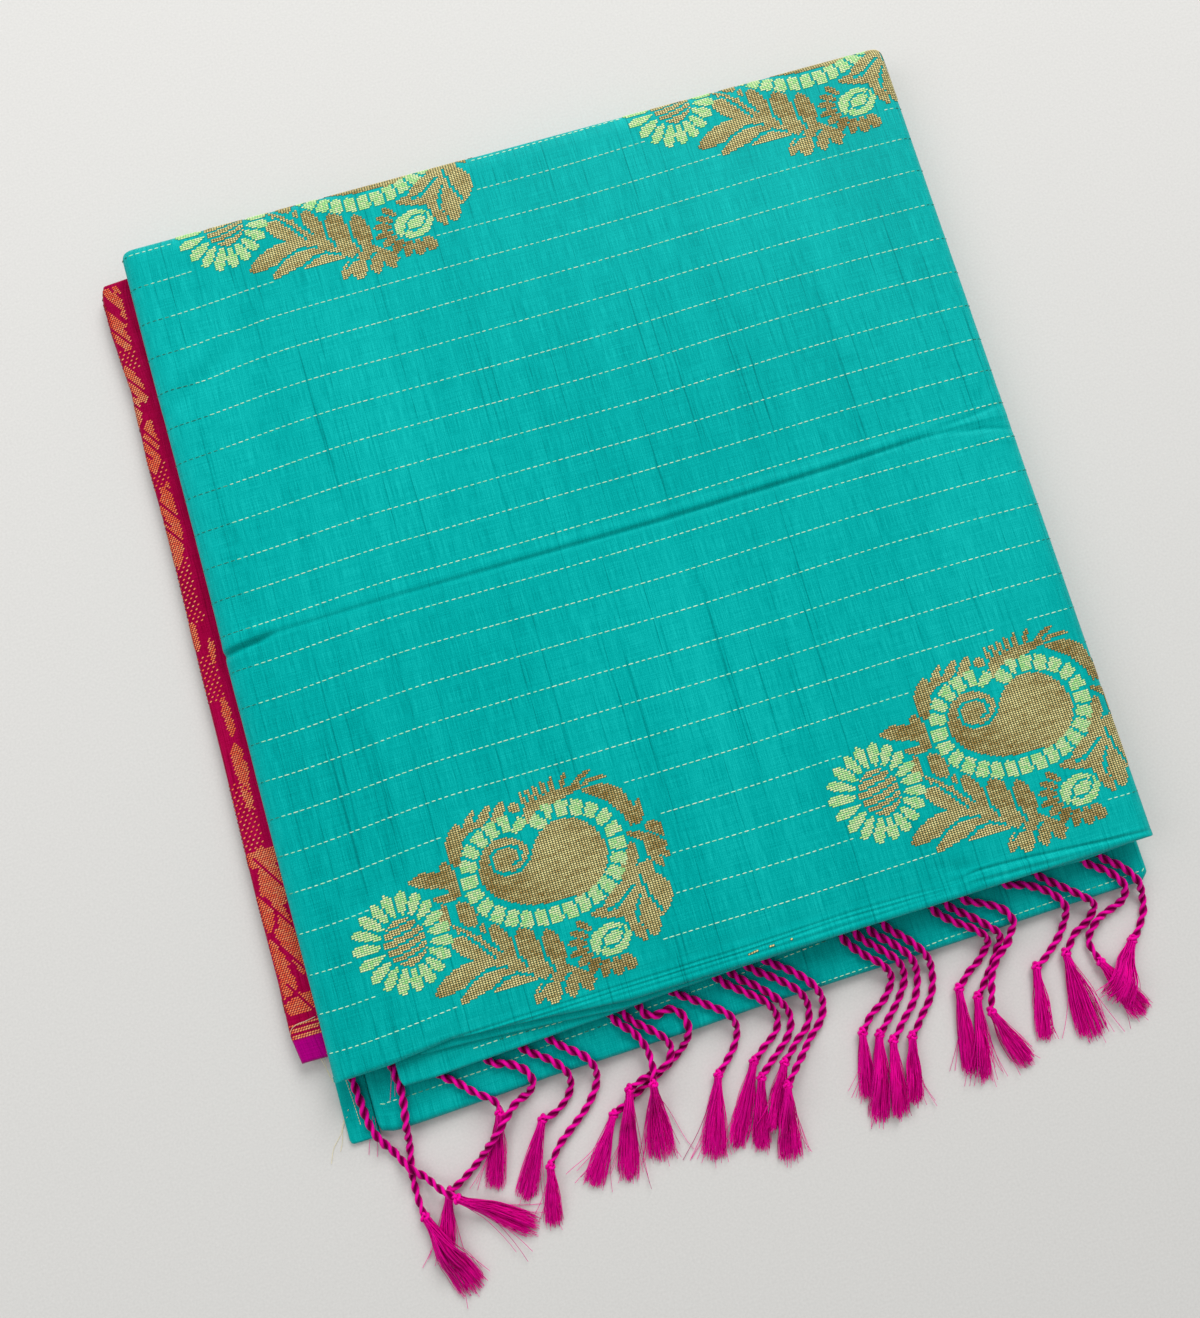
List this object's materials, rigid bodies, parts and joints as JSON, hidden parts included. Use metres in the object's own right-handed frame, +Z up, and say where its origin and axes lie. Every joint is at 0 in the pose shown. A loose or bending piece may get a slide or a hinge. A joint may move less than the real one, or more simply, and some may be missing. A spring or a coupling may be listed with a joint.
{
  "type": "folded art silk saree with tasselled pallu",
  "caption": "Folded art silk saree lying flat: teal cloth with brocade paisleys, staggered folds, a magenta zari pallu along one side and twisted tassels at the front.",
  "frame": {"origin": "on the floor under the middle of the folded stack, where its flat underside rests", "axes": "+X along the weft, from the pallu's side towards the plain side; +Y along the length of the cloth, away from the tassels; +Z up"},
  "size_m": [0.3968, 0.5017, 0.022],
  "materials": {
    "teal_silk": "soft sheen art silk with warp slubs, pale running thread lines and woven brocade motifs",
    "magenta_zari": "magenta silk with woven copper and gold zari",
    "magenta_thread": "glossy twisted silk thread"
  },
  "bodies": {
    "root": {"top_fold": "teal_silk", "hidden_folds": "teal_silk", "middle_fold": "teal_silk", "second_fold": "teal_silk", "under_fold": "teal_silk", "corner_fold": "teal_silk", "pallu_fold": "magenta_zari", "tassel_01": "magenta_thread", "tassel_02": "magenta_thread", "tassel_03": "magenta_thread", "tassel_04": "magenta_thread", "tassel_05": "magenta_thread", "tassel_06": "magenta_thread", "tassel_07": "magenta_thread", "tassel_08": "magenta_thread", "tassel_09": "magenta_thread", "tassel_10": "magenta_thread", "tassel_11": "magenta_thread", "tassel_12": "magenta_thread", "tassel_13": "magenta_thread", "tassel_14": "magenta_thread", "tassel_15": "magenta_thread", "tassel_16": "magenta_thread", "tassel_17": "magenta_thread", "tassel_18": "magenta_thread", "tassel_19": "magenta_thread", "tassel_20": "magenta_thread", "tassel_21": "magenta_thread", "tassel_22": "magenta_thread", "tassel_23": "magenta_thread", "tassel_24": "magenta_thread", "tassel_25": "magenta_thread"}
  },
  "joints": []
}
